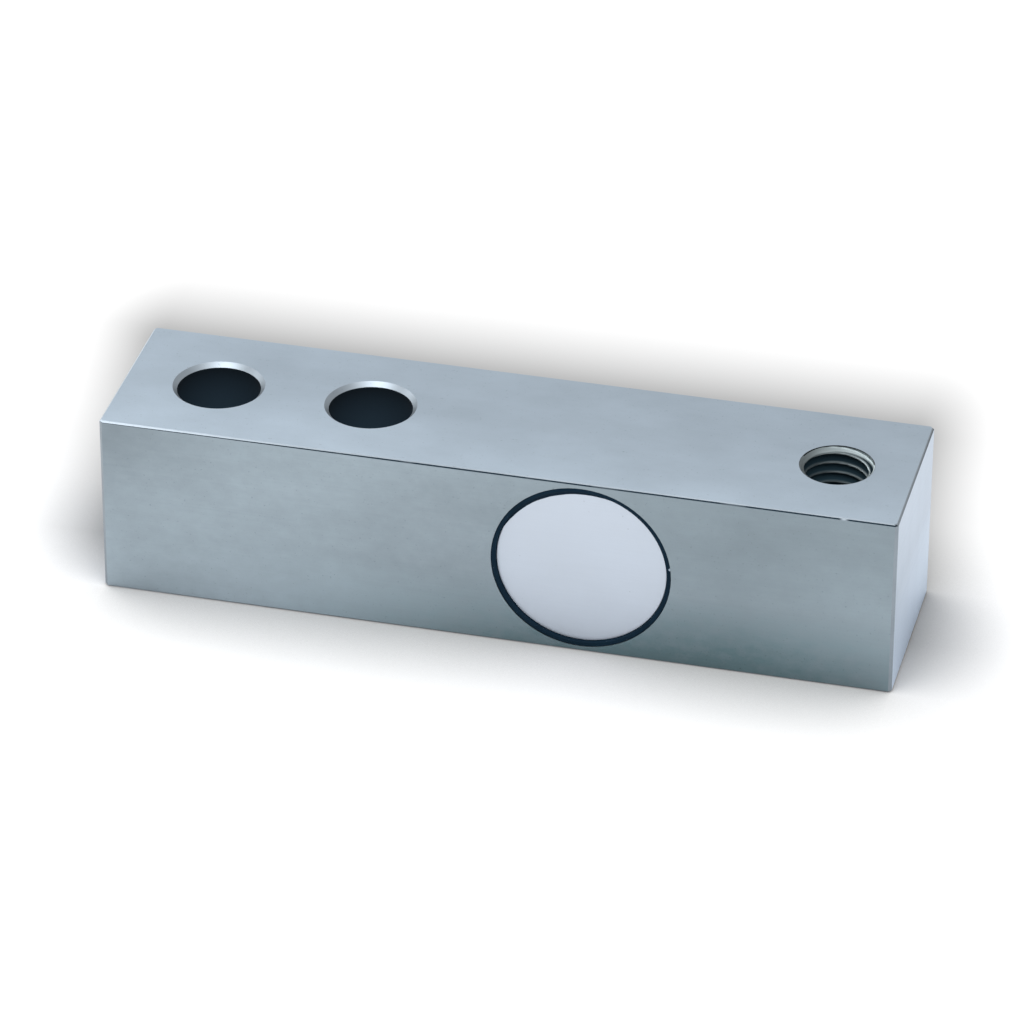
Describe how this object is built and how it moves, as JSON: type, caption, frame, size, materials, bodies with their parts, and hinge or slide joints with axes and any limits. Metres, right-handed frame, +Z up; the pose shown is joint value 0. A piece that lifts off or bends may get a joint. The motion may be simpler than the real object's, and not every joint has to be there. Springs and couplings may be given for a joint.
{
  "type": "shear beam load cell",
  "caption": "Square steel shear beam load cell with plain mounting holes, a tapped load hole and round sealed covers over gauge pockets in its sides.",
  "frame": {"origin": "middle of the bar's underside", "axes": "+X from the clamped end to the loaded end, +Y to the rear cover, +Z up along the load hole; the front cover looks along -Y"},
  "size_m": [0.13, 0.0312, 0.0312],
  "materials": {
    "nickel_steel": "fine ground and satin nickel plated",
    "cover_metal": "fine satin",
    "black_rubber": "matt",
    "amber_film": "translucent amber film",
    "gauge_alloy": "etched foil",
    "green_laminate": "glass-filled laminate",
    "copper": "tinned copper",
    "gel": "soft translucent silicone",
    "wire_cover": "smooth wire insulation",
    "chip_ceramic": "fired chip",
    "bobbin": "wound bobbin",
    "gland_metal": "nickel plated brass"
  },
  "bodies": {
    "root": {"beam_body": "nickel_steel", "front_cover_disc": "cover_metal", "rear_cover_disc": "cover_metal", "front_seal_ring": "black_rubber", "rear_seal_ring": "black_rubber", "front_gauge_backing": "amber_film", "rear_gauge_backing": "amber_film", "front_gauge_foil": "gauge_alloy", "rear_gauge_foil": "gauge_alloy", "front_terminal_strip": "green_laminate", "rear_terminal_strip": "green_laminate", "front_terminal_tabs": "copper", "rear_terminal_tabs": "copper", "front_gauge_leads": "copper", "rear_gauge_leads": "copper", "front_potting": "gel", "rear_potting": "gel", "connection_board": "green_laminate", "board_pads": "copper", "span_resistors": "chip_ceramic", "zero_balance_resistor": "chip_ceramic", "temperature_resistors": "bobbin", "front_bridge_wires": "wire_cover", "rear_bridge_wires": "wire_cover", "gland_screw": "gland_metal", "gland_washer": "gland_metal", "seal_bush": "black_rubber"}
  },
  "joints": []
}
